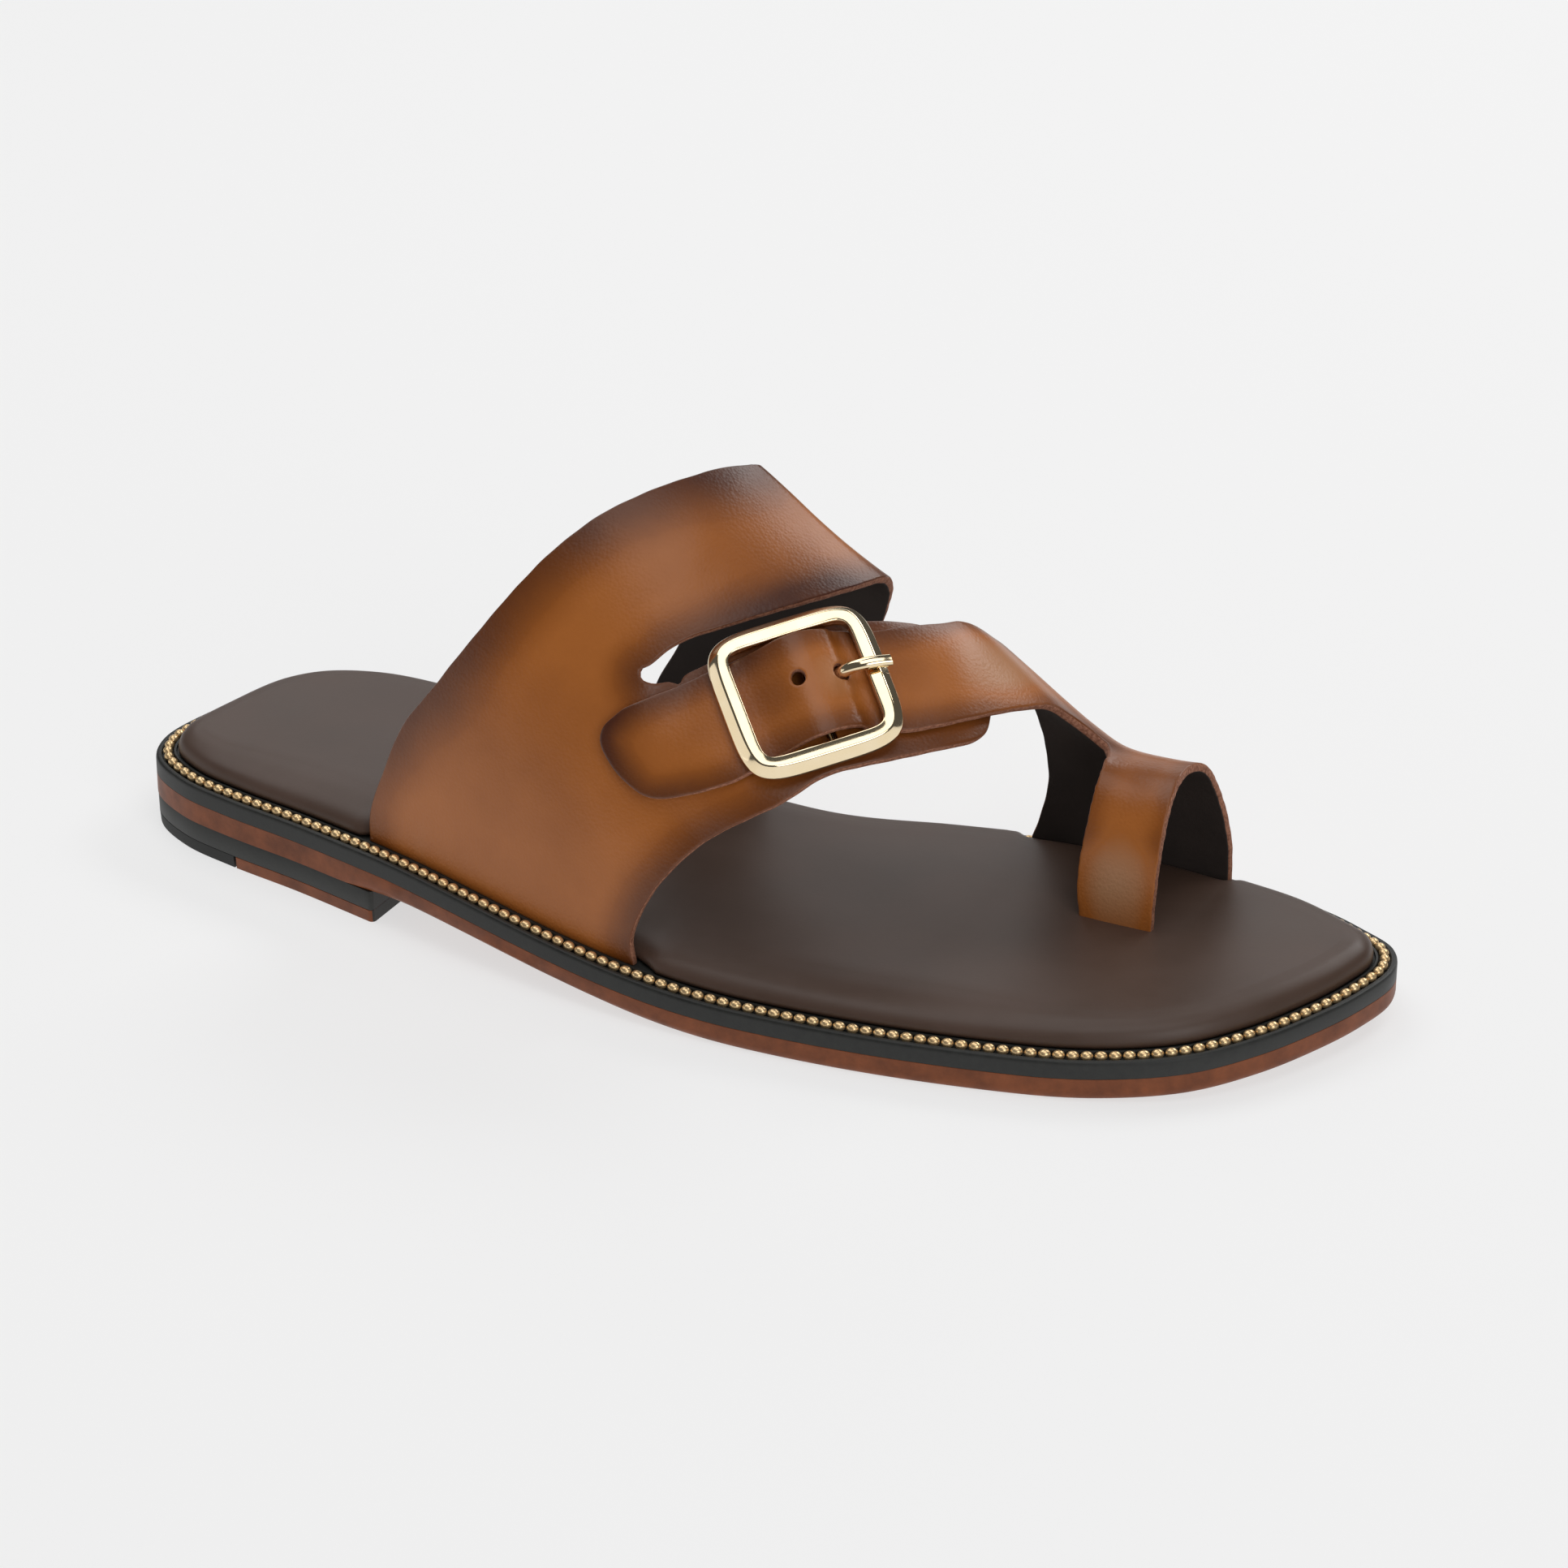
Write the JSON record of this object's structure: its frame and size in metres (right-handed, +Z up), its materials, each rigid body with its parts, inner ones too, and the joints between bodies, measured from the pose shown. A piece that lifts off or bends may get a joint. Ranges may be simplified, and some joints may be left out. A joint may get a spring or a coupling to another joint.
{
  "type": "buckled slipper",
  "caption": "Flat leather slipper for the right foot with an instep band, a buckled strap running to a toe loop, a padded footbed and a stacked heel.",
  "frame": {"origin": "middle of the sole's box, on the floor plane", "axes": "+X from heel to toe, +Y to the medial side of the foot, +Z up"},
  "size_m": [0.292, 0.1085, 0.1031],
  "materials": {
    "brown_sole_leather": "waxed sole edge",
    "black_welt": "satin black",
    "gold_bead": "bright gold",
    "black_heel": "satin black",
    "black_rubber": "matt black",
    "brown_top_piece": "waxed",
    "footbed_leather": "soft dark brown",
    "tan_leather": "burnished tan",
    "gold_metal": "polished pale gold"
  },
  "bodies": {
    "root": {"outsole": "brown_sole_leather", "midsole_welt": "black_welt", "bead_row": "gold_bead", "heel_lift": "black_heel", "heel_top_piece_rear": "black_rubber", "heel_top_piece_front": "brown_top_piece", "footbed": "footbed_leather", "instep_band": "tan_leather", "toe_strap": "tan_leather", "buckle_frame": "gold_metal", "buckle_prong": "gold_metal"}
  },
  "joints": []
}
